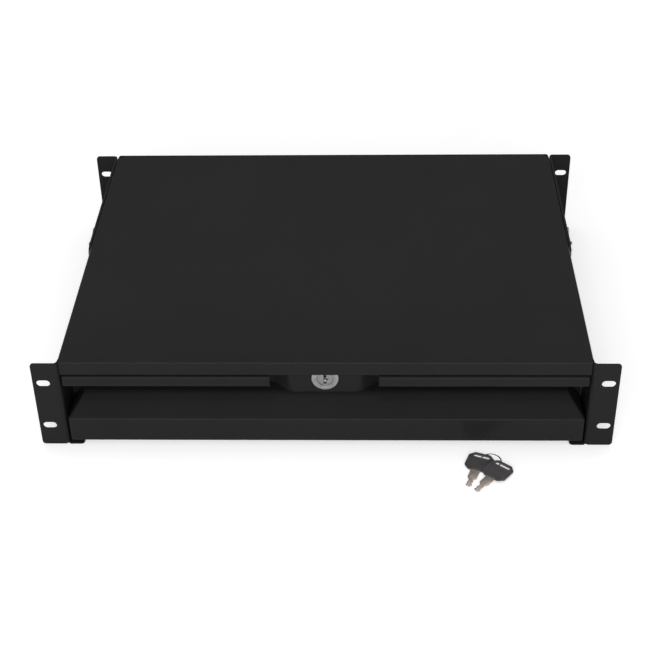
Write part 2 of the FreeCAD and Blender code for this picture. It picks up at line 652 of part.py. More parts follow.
# ---------------------------------------------------------------- cam lock
def lock_body():
    face_y = LEDGE_Y - LOCK_FACE_T
    flange = round_bar(LOCK_FACE_R, (0, face_y, LOCK_Z), (0, 1, 0), LOCK_FACE_T, 32)
    front_edges = [edge for edge in flange.Edges if edge.BoundBox.YMax < LEDGE_Y - LOCK_FACE_T / 2]
    flange = flange.makeChamfer(LOCK_BEVEL, front_edges)
    flats = BARREL_FLATS / 2
    barrel = round_bar(BARREL_R, (0, LEDGE_Y, LOCK_Z), (0, 1, 0), BARREL_LENGTH)
    low, high = LOCK_Z - BARREL_R, LOCK_Z + BARREL_R
    barrel = barrel.common(block(-flats, flats, LEDGE_Y, LEDGE_Y + BARREL_LENGTH, low, high))
    dish = round_bar(PLUG_R + 2 * DISH, (0, face_y, LOCK_Z), (0, 1, 0), DISH)
    bore = bar(16, PLUG_R + PLUG_GAP, (0, face_y, LOCK_Z), (0, 1, 0), LOCK_FACE_T + BARREL_LENGTH)
    return flange.fuse(barrel).cut([dish, bore])


def lock_nut():
    y = LEDGE_Y + FRONT_T
    nut = bar(6, LOCK_NUT_AF / 2, (0, y, LOCK_Z), (0, 1, 0), LOCK_NUT_T)
    return nut.cut(round_bar(BARREL_R + BARREL_GAP, (0, y, LOCK_Z), (0, 1, 0), LOCK_NUT_T))


def lock_plug():
    face_y = LEDGE_Y - LOCK_FACE_T + PLUG_INSET
    plug = round_bar(PLUG_R, (0, face_y, LOCK_Z), (0, 1, 0), CAM_Y - face_y, 16)
    half = CAM_SQUARE / 2
    square = block(-half, half, CAM_Y, CAM_Y + CAM_T, LOCK_Z - half, LOCK_Z + half)
    width, height = KEYWAY_WIDTH / 2, KEYWAY_HEIGHT / 2
    keyway = block(-width, width, face_y, face_y + KEYWAY_DEPTH, LOCK_Z - height, LOCK_Z + height)
    ward = block(0, 2 * width, face_y, face_y + KEYWAY_DEPTH, LOCK_Z - WARD_HEIGHT, LOCK_Z)
    hole_y = CAM_Y - CAM_SCREW_GRIP - FIT_GAP
    hole = bar(6, SCREW_R + SCREW_HOLE_GAP, (0, hole_y, LOCK_Z), (0, 1, 0), CAM_Y + CAM_T - hole_y)
    return plug.fuse(square).cut([keyway, ward, hole])


def lock_cam():
    half, middle = CAM_WIDTH / 2, CAM_SQUARE / 2 + SCREW_HOLE_GAP
    cam = block(-CAM_LENGTH, half, CAM_Y, CAM_Y + CAM_T, LOCK_Z - half, LOCK_Z + half)
    cam = cam.makeChamfer(CAM_CORNER / 2, [edge for edge in cam.Edges if edge.BoundBox.YLength > CAM_T / 2])
    return cam.cut(block(-middle, middle, CAM_Y, CAM_Y + CAM_T, LOCK_Z - middle, LOCK_Z + middle))


def cam_screw():
    return screw((0, CAM_Y + CAM_T, LOCK_Z), (0, 1, 0), CAM_T + CAM_SCREW_GRIP,
                 head_r=CAM_SCREW_HEAD_R, head_t=CAM_SCREW_HEAD_T)


# ---------------------------------------------------------------- rear brackets
def rear_bracket():
    face = CASE_DEPTH - BRACKET_T
    inner, behind, ahead = BRACKET_IN - OVERCUT, CASE_DEPTH + OVERCUT, ARM_FRONT_Y - OVERCUT
    bracket = folded([(BRACKET_OUT, ARM_FRONT_Y), (BRACKET_OUT, face), (EAR_END, face)],
                     BRACKET_T, BRACKET_BEND, "xy", -EAR_HALF, EAR_HALF)
    arm = [(ARM_FRONT_Y, -EAR_HALF), (behind, -EAR_HALF), (behind, EAR_HALF), (ARM_FRONT_Y, EAR_HALF)]
    side_view = prism(arm, "yz", inner, EAR_END + OVERCUT, [BRACKET_CORNER, 0, 0, BRACKET_CORNER])
    rear_view = prism([(inner, -EAR_HALF), (EAR_END, -EAR_HALF), (EAR_END, EAR_HALF), (inner, EAR_HALF)],
                      "xz", ahead, behind, [0, EAR_CORNER, EAR_CORNER, 0])
    cuts = [slot(SLOT_LENGTH, SLOT_WIDTH, SLOT_X, z, face - OVERCUT, behind)
            for z in (-HOLE_SPACING_Z / 2, HOLE_SPACING_Z / 2)]
    r = BOLT_SLOT / 2
    start = BOLT_PLACES[0] - r - OVERCUT
    end = BOLT_PLACES[-1] + BRACKET_TRAVEL + r + OVERCUT
    for z in (-BOLT_Z, BOLT_Z):
        cuts.append(prism([(start, z - r), (end, z - r), (end, z + r), (start, z + r)], "yz",
                          inner, BRACKET_OUT + OVERCUT, r * ROUND_END))
    return bracket.common(side_view).common(rear_view).cut(cuts)


def bracket_bolts():
    """Flanged bolts outside the arm, with nuts welded inside the case wall."""
    bolts, nuts = [], []
    seat = BRACKET_OUT + FLAT_GAP
    for y in BOLT_PLACES:
        for z in (-BOLT_Z, BOLT_Z):
            shank = seat - WALL_IN + NUT_T
            bolts.append(screw((seat, y, z), (1, 0, 0), shank, BOLT_HEAD_R, BOLT_HEAD_T, BOLT_R, 6))
            nut = bar(6, NUT_AF / 2, (WALL_IN - NUT_T, y, z), (1, 0, 0), NUT_T)
            nuts.append(nut.cut(through(NUT_T, (WALL_IN - NUT_T, y, z), (1, 0, 0), BOLT_R)))
    return bolts, nuts


# ---------------------------------------------------------------- keys, lying in front of the drawer
def key_parts(neck, turn, level):
    """Head and blade of one key; neck is where the blade leaves the head, level its height over the ground."""
    half, height, corner = KEY_HEAD_WIDTH / 2, KEY_HEAD_HEIGHT, KEY_HEAD_CORNER
    z = CASE_BOTTOM + level
    right = [(half - corner, 0), (half, corner), (half, height - corner), (half - corner, height)]
    head = prism(right + [(-x, y) for x, y in right[::-1]], "xy", z, z + KEY_HEAD_T)
    wide, narrow, step, tip = KEY_BLADE_WIDTH / 2, KEY_TIP_WIDTH / 2, KEY_STEP, -KEY_BLADE_LENGTH
    edge = [(wide, step), (wide, -KEY_SHOULDER), (narrow, -KEY_SHOULDER - step),
            (narrow, tip + step), (0, tip)]
    blade_z = z + (KEY_HEAD_T - KEY_BLADE_T) / 2
    blade = prism(edge + [(-x, y) for x, y in edge[-2::-1]], "xy", blade_z, blade_z + KEY_BLADE_T)
    slot_end, slot_top = KEY_SLOT_LENGTH / 2, height - KEY_RIM
    opening = block(-slot_end, slot_end, slot_top - KEY_SLOT_WIDTH, slot_top, z, z + KEY_HEAD_T)
    head = head.cut([opening, blade])
    for piece in (head, blade):
        piece.rotate(V(0, 0, 0), V(0, 0, 1), turn)
        piece.translate(V(neck[0], neck[1], 0))
    return head, blade


def key_ring():
    """Ring under the two heads, flat on the ground."""
    at = (RING_PLACE[0], RING_PLACE[1], CASE_BOTTOM)
    outer = round_bar(RING_R, at, (0, 0, 1), RING_HEIGHT)
    return outer.cut(round_bar(RING_R - RING_WIRE, at, (0, 0, 1), RING_HEIGHT))


# ---------------------------------------------------------------- write the nodes
os.makedirs("parts", exist_ok=True)
save("case_shell", case_shell())
save("rear_panel", rear_panel())
save("rear_panel_screws", rear_screws())
save("rear_bumpers", rear_bumpers())
save("lock_keeper", keeper())

outer, middle, inner = slide_members()
outer_cage, outer_balls = cage_and_balls(ROW_OUTER_Z, BALL_ROW_OUTER)
inner_cage, inner_balls = cage_and_balls(ROW_INNER_Z, BALL_ROW_INNER)
slide_nodes = {
    "slide_outer": outer, "slide_middle": middle, "slide_inner": inner,
    "outer_ball_cage": outer_cage, "outer_balls": outer_balls,
    "inner_ball_cage": inner_cage, "inner_balls": inner_balls,
}
bolts, nuts = bracket_bolts()
paired = dict(slide_nodes, rear_bracket=rear_bracket(), bracket_bolts=bolts, bracket_nuts=nuts)
for name, shape in paired.items():
    save(name + "_right", shape)
    save(name + "_left", [mirrored(s) for s in shape] if isinstance(shape, list) else mirrored(shape))
save("slide_outer_screws", outer_slide_screws())
save("slide_inner_screws", inner_slide_screws())

save("drawer_tray", drawer_tray())
save("drawer_front", drawer_front())
save("lock_panel", lock_panel())
save("front_screws", front_screws())

save("lock_body", lock_body())
save("lock_nut", lock_nut())
save("lock_plug", lock_plug())
save("lock_cam", lock_cam())
save("cam_screw", cam_screw())

for name, neck, turn, level in KEYS:
    head, blade = key_parts(neck, turn, level)
    save("key_head_" + name, head)
    save("key_blade_" + name, blade)
save("key_ring", key_ring())
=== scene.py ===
import json
import math

import bmesh
import bpy
from mathutils import Euler, Matrix, Vector

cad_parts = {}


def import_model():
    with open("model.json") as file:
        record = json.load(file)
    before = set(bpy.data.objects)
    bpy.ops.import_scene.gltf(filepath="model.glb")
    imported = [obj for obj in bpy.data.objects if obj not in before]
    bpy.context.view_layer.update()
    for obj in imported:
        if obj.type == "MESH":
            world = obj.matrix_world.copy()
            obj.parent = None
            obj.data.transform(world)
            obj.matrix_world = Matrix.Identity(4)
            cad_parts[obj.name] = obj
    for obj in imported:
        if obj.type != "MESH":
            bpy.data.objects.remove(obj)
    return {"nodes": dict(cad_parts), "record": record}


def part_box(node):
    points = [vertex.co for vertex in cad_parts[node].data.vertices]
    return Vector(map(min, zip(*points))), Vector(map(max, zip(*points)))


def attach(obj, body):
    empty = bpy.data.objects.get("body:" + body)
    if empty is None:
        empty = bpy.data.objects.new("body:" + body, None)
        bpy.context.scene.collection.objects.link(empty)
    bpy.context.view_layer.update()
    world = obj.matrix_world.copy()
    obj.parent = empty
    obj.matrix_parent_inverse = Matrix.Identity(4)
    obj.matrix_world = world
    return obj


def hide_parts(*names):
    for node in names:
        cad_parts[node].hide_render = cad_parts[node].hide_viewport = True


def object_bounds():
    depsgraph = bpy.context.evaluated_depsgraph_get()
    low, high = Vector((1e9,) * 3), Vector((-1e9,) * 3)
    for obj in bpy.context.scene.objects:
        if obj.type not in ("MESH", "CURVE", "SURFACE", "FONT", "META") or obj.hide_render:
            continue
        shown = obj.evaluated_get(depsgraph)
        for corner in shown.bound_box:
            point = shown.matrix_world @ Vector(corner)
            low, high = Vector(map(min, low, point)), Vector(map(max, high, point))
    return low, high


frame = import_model()
cad_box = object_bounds()
nodes = frame["nodes"]
MM = 0.001
SIDES = ("left", "right")
WELD = 1e-6                     # metres; corners of a CAD mesh nearer than this are one corner
SMOOTH_ANGLE = 32               # degrees; edges that turn more than this stay sharp
BEVEL_ANGLE = 35                # degrees; edges that turn more than this get a bevel
WHITE = (1.0, 1.0, 1.0, 1.0)

# colours, as grey levels of an 8-bit display
COAT_LEVEL = 32
BLACK_ZINC_LEVEL = 40
ZINC_LEVEL = 178
BALL_LEVEL = 205
LOCK_LEVEL = 150
PLUG_LEVEL = 138
RING_LEVEL = 196

# light; a strength of 1 is white
AMBIENT = 0.4
# what reflections see of the world: two heights, as sines, and the strengths at them
BACKDROP = (0.44, 0.585, 0.42, 1.5)
BACKDROP_TOP = (0.60, 0.68, 0.8, 0.0)       # the backdrop is multiplied by this, which ends it
CEILING = (0.72, 0.9, 0.0, 0.9)
GLOW = 0.46                     # the floor's white for the eye, near the object
GLOW_NEAR = 0.7                 # metres from the middle; from here on the floor's white grows
GLOW_FAR = 1.8                  # and here it is 1
GLOW_INSET = 0.012              # metres inside the case's walls, where the floor has no such white: painted shade under the case
FLOOR_HALF = 6.0                # metres
LIGHTS = (
    # name, place, the point it is aimed at, width and height, watts
    ("front_light", (-0.15, -1.9, 1.35), (0, 0.1, 0), (2.0, 0.8), 22),
    ("fill_light", (-0.1, -1.7, 0.5), (0, 0, 0), (2.2, 0.6), 14),
    ("top_light", (0.0, 0.5, 2.4), (0, 0.2, 0), (1.8, 1.0), 12),
)

# camera, fitted to the photograph
EYE = Vector((34.80, -898.41, 725.56)) * MM
PITCH = math.radians(35.639)
YAW = math.radians(2.117)
ROLL = math.radians(1.241)
LENS = 76.84                    # millimetres, on a sensor 36 mm wide

# fasteners
SCREW_PITCH = 0.7 * MM
SCREW_THREAD = 0.22 * MM        # depth of the thread
BOLT_PITCH = 0.8 * MM
BOLT_THREAD = 0.28 * MM
NUT_THREAD = 0.2 * MM
NUT_SINK = 0.5 * MM             # depth of the countersinks of a nut's bore
SCREW_TURNS = (17, 53)          # degrees: how far the first screw is turned, and each further one
BOLT_TURNS = (11, 23)
FRONT_TURNS = (40, 67)

# segments of turned pieces
SCREW_SEGMENTS = 40
BUFFER_SEGMENTS = 56
HEX_SEGMENTS = 64
LOCK_SEGMENTS = 96

# buffers
BUFFER_NOSE = 1.6 * MM          # radius of the rounded nose

# lock
PLUG_R = 7.0 * MM
PLUG_GAP = 0.05 * MM
PLUG_EDGE = 0.35 * MM           # chamfer of the plug's face
BARREL_R = 9.4 * MM
BARREL_FLATS = 16.5 * MM
BARREL_PITCH = 1.0 * MM
BARREL_THREAD = 0.45 * MM
LOCK_RIM = 0.9 * MM             # radius of the face's rounded rim
LOCK_RING = 1.2 * MM            # width of the body's face between its groove and the plug
LOCK_GROOVE = 0.3 * MM          # depth of the groove round that ring
LOCK_FIELD = 0.12 * MM          # how far that ring lies behind the face
CAM_SQUARE = 7.0 * MM
KEYWAY_WIDTH = 2.4 * MM
KEYWAY_HEIGHT = 10.5 * MM
KEYWAY_DEPTH = 18.0 * MM
WARD_HEIGHT = 1.7 * MM
WAFER_FIRST = 3.4 * MM          # behind the plug's face
WAFER_PITCH = 2.4 * MM
WAFER_HALF = 0.25 * MM          # half a wafer's thickness
WAFER_END = 0.62                # share of the keyway's half height that the wafers leave free
WAFER_LIFTS = (0.0, 0.6, -0.3, 0.4, -0.5, 0.2)      # millimetres

# keys
KEY_CORNER = 0.4                # of the head's cut corners, as a share of its half width
KEY_ROUNDING = 2.2 * MM
KEY_SLOT_LENGTH = 14.0 * MM
KEY_SLOT_WIDTH = 3.0 * MM
KEY_RIM = 2.4 * MM
KEY_SLOT_RIM = 0.8 * MM         # width of the raised rim round the slot
KEY_FIELD_INSET = 1.5 * MM
KEY_FIELD_DEPTH = 0.22 * MM
KEY_BLADE_WIDTH = 8.0 * MM
KEY_TIP_WIDTH = 5.5 * MM
KEY_SHOULDER = 9.7 * MM
KEY_TIP_CLEAR = 0.8 * MM        # the square tip stops this far short of the solid's pointed one
KEY_ROOT = 2.0 * MM             # length of the blade that is moulded into the head
KEY_GROOVE = 1.1 * MM           # width of the groove along each face
KEY_GROOVE_DEPTH = 0.24 * MM
KEY_GROOVE_SHIFT = 0.6 * MM     # of each groove from the blade's middle
KEY_CUTS = (0.9, 0.35, 1.0, 0.6)            # depths of the cuts along one edge, in millimetres
RING_WIRE = 1.1 * MM
RING_STEPS = 160
RING_TURNS = 2
RING_START = math.radians(200)


# ---------------------------------------------------------------- material building blocks
def srgb(level, tint=(1.0, 1.0, 1.0)):
    """Linear colour of a grey given as an 8-bit display level, times a tint."""
    value = level / 255
    linear = value / 12.92 if value <= 0.04045 else ((value + 0.055) / 1.055) ** 2.4
    return (linear * tint[0], linear * tint[1], linear * tint[2], 1.0)


class Nodes:
    """A material's node tree with short calls for the nodes used here."""

    def __init__(self, name, **sockets):
        self.material = bpy.data.materials.new(name)
        self.material.use_nodes = True
        self.tree = self.material.node_tree
        self.shader = self.tree.nodes["Principled BSDF"]
        for socket, value in sockets.items():
            self.shader.inputs[socket.replace("_", " ")].default_value = value
        self.place = self.add("ShaderNodeTexCoord").outputs["Object"]

    def add(self, kind, **sockets):
        node = self.tree.nodes.new(kind)
        for socket, value in sockets.items():
            self.set(node.inputs[socket.replace("_", " ")], value)
        return node

    def set(self, socket, value):
        if isinstance(value, bpy.types.NodeSocket):
            self.tree.links.new(value, socket)
        else:
            socket.default_value = value

    def stretched(self, scale):
        """The object's coordinates, stretched."""
        return self.add("ShaderNodeMapping", Vector=self.place, Scale=scale).outputs["Vector"]

    def noise(self, scale, detail=2.0, rough=0.5, at=None):
        node = self.add("ShaderNodeTexNoise", Vector=at or self.place,
                        Scale=scale, Detail=detail, Roughness=rough)
        return node.outputs["Fac"]

    def fit(self, value, low, high, to_low=0.0, to_high=1.0):
        """A value between low and high, brought between the other two."""
        node = self.add("ShaderNodeMapRange", Value=value,
                        From_Min=low, From_Max=high, To_Min=to_low, To_Max=to_high)
        return node.outputs["Result"]

    def math(self, operation, a, b=0.0):
        node = self.tree.nodes.new("ShaderNodeMath")
        node.operation = operation
        self.set(node.inputs[0], a)
        self.set(node.inputs[1], b)
        return node.outputs[0]

    def mix(self, share, a, b):
        """Colour b laid over colour a, by that share; 6, 7 and 2 are the node's colour sockets."""
        node = self.tree.nodes.new("ShaderNodeMix")
        node.data_type = "RGBA"
        self.set(node.inputs["Factor"], share)
        self.set(node.inputs[6], a)
        self.set(node.inputs[7], b)
        return node.outputs[2]

    def over(self, body, mask, share, colour):
        """A colour laid over another where the mask is 1, by that share."""
        return self.mix(self.math("MULTIPLY", mask, share), body, colour)

    def edges(self, radius):
        """Normal rounded over that radius, and a mask that is 1 on sharp edges, which the materials use to
        paint highlights there.
        """
        soft = self.add("ShaderNodeBevel", Radius=radius).outputs["Normal"]
        flat = self.add("ShaderNodeNewGeometry").outputs["Normal"]
        dot = self.tree.nodes.new("ShaderNodeVectorMath")
        dot.operation = "DOT_PRODUCT"
        self.set(dot.inputs[0], soft)
        self.set(dot.inputs[1], flat)
        return soft, self.fit(dot.outputs["Value"], 0.99, 0.80)

    def bump(self, height, depth, strength, normal):
        node = self.add("ShaderNodeBump", Height=height, Distance=depth, Strength=strength, Normal=normal)
        return node.outputs["Normal"]

    def finish(self, **links):
        """The material, with those sockets of its shader set or linked."""
        for socket, value in links.items():
            self.set(self.shader.inputs[socket.replace("_", " ")], value)
        return self.material


# ---------------------------------------------------------------- materials
def powder_coat(name, level, gloss=0.06, rough=0.2):
    """Satin black powder coat: fine orange peel, faint clouds, and a painted highlight that makes its sharp
    edges lighter.
    """
    n = Nodes(name, Specular_IOR_Level=gloss)
    soft, edge = n.edges(0.5 * MM)
    cloud = n.fit(n.noise(9.0, 4.0, 0.6), 0.3, 0.7)
    speck = n.fit(n.noise(2600.0, 1.0), 0.35, 0.65)
    body = n.mix(cloud, srgb(level - 1.5), srgb(level + 1.5))
    body = n.over(body, speck, 0.2, srgb(level + 7))
    # painted highlight: sharp edges made lighter, standing in for the light that the bends catch
    body = n.over(body, edge, 0.45, srgb(level + 22))
    peel = n.noise(750.0, 2.0, 0.55)
    roughness = n.fit(n.noise(140.0, 3.0), 0.3, 0.7, rough - 0.015, rough + 0.015)
    return n.finish(Base_Color=body, Roughness=roughness, Normal=n.bump(peel, 0.12 * MM, 0.35, soft))


def zinc(name, stretch):
    """Rolled and zinc-plated steel: fine lines along the rolling direction, pale blue and straw clouds."""
    n = Nodes(name, Metallic=1.0)
    soft, edge = n.edges(0.25 * MM)
    lines = n.noise(900.0, 3.0, 0.7, n.stretched(stretch))
    cloud = n.fit(n.noise(35.0, 3.0), 0.35, 0.65)
    blue, straw = (0.97, 1.0, 1.04), (1.05, 1.0, 0.9)
    body = n.mix(cloud, srgb(ZINC_LEVEL, blue), srgb(ZINC_LEVEL - 8, straw))
    body = n.mix(n.fit(lines, 0.3, 0.7, 0.0, 0.35), body, srgb(ZINC_LEVEL - 40))
    # painted highlight: sharp edges made lighter
    body = n.over(body, edge, 0.5, srgb(ZINC_LEVEL + 30))
    return n.finish(Base_Color=body, Roughness=n.fit(lines, 0.25, 0.75, 0.24, 0.42),
                    Normal=n.bump(lines, 0.03 * MM, 0.3, soft))


def cast_chrome(name, level, rough):
    """Satin chrome over a die casting: faint pitting and a cloudy polish."""
    n = Nodes(name, Metallic=1.0)
    soft, edge = n.edges(0.2 * MM)
    cloud = n.noise(260.0, 4.0, 0.65)
    body = n.mix(n.fit(cloud, 0.3, 0.7), srgb(level - 12), srgb(level + 8))
    # painted highlight: sharp edges made lighter
    body = n.over(body, edge, 0.6, srgb(min(level + 45, 250)))
    return n.finish(Base_Color=body, Roughness=n.fit(cloud, 0.3, 0.7, rough - 0.06, rough + 0.08),
                    Normal=n.bump(cloud, 0.04 * MM, 0.35, soft))


def key_metal():
    """Nickel-silver key blank, brass-tinted, lighter along its edges: partly wear, partly a painted
    highlight.
    """
    n = Nodes("key_metal", Metallic=1.0)
    soft, edge = n.edges(0.2 * MM)
    wear = n.noise(420.0, 4.0, 0.7)
    body = n.mix(n.fit(wear, 0.35, 0.65), srgb(190, (1.16, 1.0, 0.9)), srgb(208, (1.14, 1.0, 0.92)))
    # lighter edges: wear on a real key, and a painted highlight
    body = n.over(body, edge, 0.5, srgb(226, (1.12, 1.0, 0.92)))
    scratches = n.noise(900.0, 2.0, 0.6, n.stretched((1.0, 0.12, 1.0)))
    return n.finish(Base_Color=body, Roughness=n.fit(wear, 0.3, 0.7, 0.42, 0.6),
                    Normal=n.bump(scratches, 0.03 * MM, 0.35, soft))


def moulded_plastic():
    """Black moulded key head: fine spark-eroded grain, shinier where it is handled."""
    n = Nodes("moulded_plastic", IOR=1.5)
    soft, edge = n.edges(0.4 * MM)
    grain = n.noise(2200.0, 2.0, 0.6)
    hand = n.fit(n.noise(130.0, 3.0), 0.35, 0.65)
    tint = (1.08, 0.97, 1.02)
    body = n.mix(hand, srgb(62, tint), srgb(75, tint))
    # painted highlight: sharp edges made lighter
    body = n.over(body, edge, 0.5, srgb(112))
    return n.finish(Base_Color=body, Roughness=n.fit(hand, 0.0, 1.0, 0.5, 0.36),
                    Normal=n.bump(grain, 0.06 * MM, 0.4, soft))


def rubber():
    """Moulded rubber: matte, with dusty patches."""
    n = Nodes("buffer_rubber", Specular_IOR_Level=0.3)
    soft, edge = n.edges(0.3 * MM)
    dust = n.fit(n.noise(220.0, 5.0, 0.7), 0.45, 0.75)
    body = n.mix(dust, srgb(32), srgb(60, (1.0, 0.98, 0.95)))
    # painted highlight: sharp edges made lighter
    body = n.over(body, edge, 0.4, srgb(75))
    return n.finish(Base_Color=body, Roughness=n.fit(dust, 0.0, 1.0, 0.65, 0.9),
                    Normal=n.bump(n.noise(1500.0), 0.08 * MM, 0.4, soft))


COAT_CASE, COAT_FRONT, COAT_TRAY, COAT_BRACKET = (
    powder_coat("powder_coat_" + part, COAT_LEVEL) for part in ("case", "front", "tray", "bracket"))
ZINC_LONG = zinc("zinc_slide", (1.0, 0.02, 1.0))
ZINC_PLAIN = zinc("zinc_hardware", (1.0, 1.0, 1.0))
BLACK_ZINC = powder_coat("black_zinc", BLACK_ZINC_LEVEL, 0.6, 0.35)
BALL_STEEL = cast_chrome("bearing_steel", BALL_LEVEL, 0.12)
LOCK_CHROME = cast_chrome("lock_chrome", LOCK_LEVEL, 0.34)
PLUG_CHROME = cast_chrome("plug_chrome", PLUG_LEVEL, 0.38)
RING_STEEL = cast_chrome("ring_steel", RING_LEVEL, 0.22)
KEY_METAL = key_metal()
KEY_PLASTIC = moulded_plastic()
RUBBER = rubber()

SLOT_LOOKS = {
    "black_case": COAT_CASE, "black_front": COAT_FRONT,
    "black_tray": COAT_TRAY, "black_bracket": COAT_BRACKET,
    "zinc": ZINC_LONG, "cage": ZINC_LONG, "ball_steel": BALL_STEEL, "black_screw": BLACK_ZINC,
    "bumper_rubber": RUBBER, "lock_metal": LOCK_CHROME, "key_plastic": KEY_PLASTIC, "key_brass": KEY_METAL,
    "ring_steel": RING_STEEL,
}
SLOT_OF = {part["node"]: part["material_slot"] for part in frame["record"]["subparts"]}


def dress(obj, look):
    obj.data.materials.clear()
    obj.data.materials.append(look)


for name, obj in nodes.items():
    dress(obj, SLOT_LOOKS[SLOT_OF[name]])


# ---------------------------------------------------------------- measuring the frame
def solids(node):
    """Corner points of each separate solid of a node, in the order of their places."""
    work = bmesh.new()
    work.from_mesh(nodes[node].data)
    bmesh.ops.remove_doubles(work, verts=work.verts, dist=WELD)
    left = dict.fromkeys(work.verts)        # a dict keeps its order, so every run gives the same groups
    groups = []
    while left:
        stack = [left.popitem()[0]]
        group = list(stack)
        while stack:
            for edge in stack.pop().link_edges:
                for vert in edge.verts:
                    if vert in left:
                        del left[vert]
                        stack.append(vert)
                        group.append(vert)
        groups.append([vert.co.copy() for vert in group])
    work.free()
    return sorted(groups, key=lambda points: [round(min(p[i] for p in points), 5) for i in range(3)])


def span(values):
    values = list(values)
    return min(values), max(values)


def box_of(points):
    """Spans along the three axes, and the middle."""
    spans = [span(p[i] for p in points) for i in range(3)]
    return spans, Vector([sum(pair) / 2 for pair in spans])


def from_axis(point, centre, axis):
    """Distance of a point from the line through centre along that axis."""
    return math.hypot(*(point[i] - centre[i] for i in range(3) if i != axis))


def screw_place(points, axis):
    """Bearing point of a screw-like solid, the direction out of its head, and its sizes."""
    spans, centre = box_of(points)
    reach = [from_axis(p, centre, axis) for p in points]
    widest = max(reach)
    low, high = span(p[axis] for p, r in zip(points, reach) if r > 0.9 * widest)
    ahead = low + high > 2 * centre[axis]
    base = centre.copy()
    base[axis] = low if ahead else high
    direction = Vector([0.0, 0.0, 0.0])
    direction[axis] = 1.0 if ahead else -1.0
    across = spans[0 if axis else 1]
    shank = (low - spans[axis][0]) if ahead else (spans[axis][1] - high)
    return {"base": base, "direction": direction, "head_t": high - low, "shank": shank,
            "head_r": (across[1] - across[0]) / 2, "shank_r": min(reach)}


# ---------------------------------------------------------------- mesh building
def lathe(profile, segments, closed=False):
    """Solid turned about Z from (radius, height) points; a closed profile leaves a bore open."""
    work = bmesh.new()
    rings = []
    for radius, height in profile:
        if radius <= 0:
            rings.append([work.verts.new((0, 0, height))])
            continue
        turns = [2 * math.pi * i / segments for i in range(segments)]
        rings.append([work.verts.new((radius * math.cos(t), radius * math.sin(t), height)) for t in turns])
    pairs = list(zip(rings, rings[1:]))
    if closed:
        pairs.append((rings[-1], rings[0]))
    for low, high in pairs:
        for i in range(segments):
            j = (i + 1) % segments
            corners = [low[i % len(low)], low[j % len(low)], high[j % len(high)], high[i % len(high)]]
            work.faces.new(list(dict.fromkeys(corners)))
    return as_mesh(work)


def prism(points, low, high):
    """Solid with that outline, from low to high."""
    work = bmesh.new()
    bottom = [work.verts.new((x, y, low)) for x, y in points]
    top = [work.verts.new((x, y, high)) for x, y in points]
    work.faces.new(bottom[::-1])
    work.faces.new(top)
    for i in range(len(points)):
        j = (i + 1) % len(points)
        work.faces.new([bottom[i], bottom[j], top[j], top[i]])
    return as_mesh(work)


def as_mesh(work):
    bmesh.ops.recalc_face_normals(work, faces=work.faces)
    mesh = bpy.data.meshes.new("work")
    work.to_mesh(mesh)
    work.free()
    return mesh


def block(x0, x1, y0, y1, z0, z1):
    return prism([(x0, y0), (x1, y0), (x1, y1), (x0, y1)], z0, z1)


def regular(sides, flat_radius):
    """Corners of a regular outline, with its flats at that distance from the middle."""
    corner = flat_radius / math.cos(math.pi / sides)
    turns = [2 * math.pi * (i + 0.5) / sides for i in range(sides)]
    return [(corner * math.cos(t), corner * math.sin(t)) for t in turns]


def rounded(points, radius, steps):
    """Outline whose corners are rounded by arcs of that radius."""
    count = len(points)
    outline = []
    for i in range(count):
        corner = Vector(points[i])
        back = (Vector(points[i - 1]) - corner).normalized()
        ahead = (Vector(points[(i + 1) % count]) - corner).normalized()
        half = back.angle(ahead) / 2
        centre = corner + (back + ahead).normalized() * (radius / math.sin(half))
        first = corner + back * (radius / math.tan(half)) - centre
        last = corner + ahead * (radius / math.tan(half)) - centre
        sweep = first.angle_signed(last)
        for k in range(steps + 1):
            turned = Matrix.Rotation(-sweep * k / steps, 2) @ first
            outline.append(tuple(centre + turned))
    return outline


def boolean(mesh, cutter, operation="DIFFERENCE"):
    """A mesh cut by, joined with or limited by another."""
    pair = [bpy.data.objects.new("work", part) for part in (mesh, cutter)]
    for obj in pair:
        bpy.context.scene.collection.objects.link(obj)
    modifier = pair[0].modifiers.new("boolean", "BOOLEAN")
    modifier.operation = operation
    modifier.solver = "EXACT"
    modifier.object = pair[1]
    result = evaluated(pair[0])
    for obj in pair:
        bpy.data.objects.remove(obj)
    return result


def bevelled(mesh, width, segments=2):
    """A mesh with its sharp edges rounded."""
    obj = bpy.data.objects.new("work", mesh)
    bpy.context.scene.collection.objects.link(obj)
    modifier = obj.modifiers.new("bevel", "BEVEL")
    modifier.width = width
    modifier.segments = segments
    modifier.limit_method = "ANGLE"
    modifier.angle_limit = math.radians(BEVEL_ANGLE)
    modifier.use_clamp_overlap = True
    result = evaluated(obj)
    bpy.data.objects.remove(obj)
    return result


def evaluated(obj):
    bpy.context.view_layer.update()
    graph = bpy.context.evaluated_depsgraph_get()
    return bpy.data.meshes.new_from_object(obj.evaluated_get(graph))


def place_along(base, direction):
    """Matrix that puts a piece's origin on the base and turns its Z along the direction."""
    return Matrix.Translation(base) @ direction.to_track_quat("Z", "Y").to_matrix().to_4x4()


def piece(name, parts, look, node, body):
    """One object made of (mesh, matrix) pairs; it rides on a body and may stand for a CAD node."""
    work = bmesh.new()
    for mesh, matrix in parts:
        first = len(work.verts)
        work.from_mesh(mesh)
        work.verts.ensure_lookup_table()
        bmesh.ops.transform(work, matrix=matrix, verts=work.verts[first:])
    mesh = bpy.data.meshes.new(name)
    work.to_mesh(mesh)
    work.free()
    mesh.shade_smooth()
    mesh.set_sharp_from_angle(angle=math.radians(SMOOTH_ANGLE))
    obj = bpy.data.objects.new(name, mesh)
    bpy.context.scene.collection.objects.link(obj)
    dress(obj, look)
    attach(obj, body)
    if node:
        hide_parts(node)


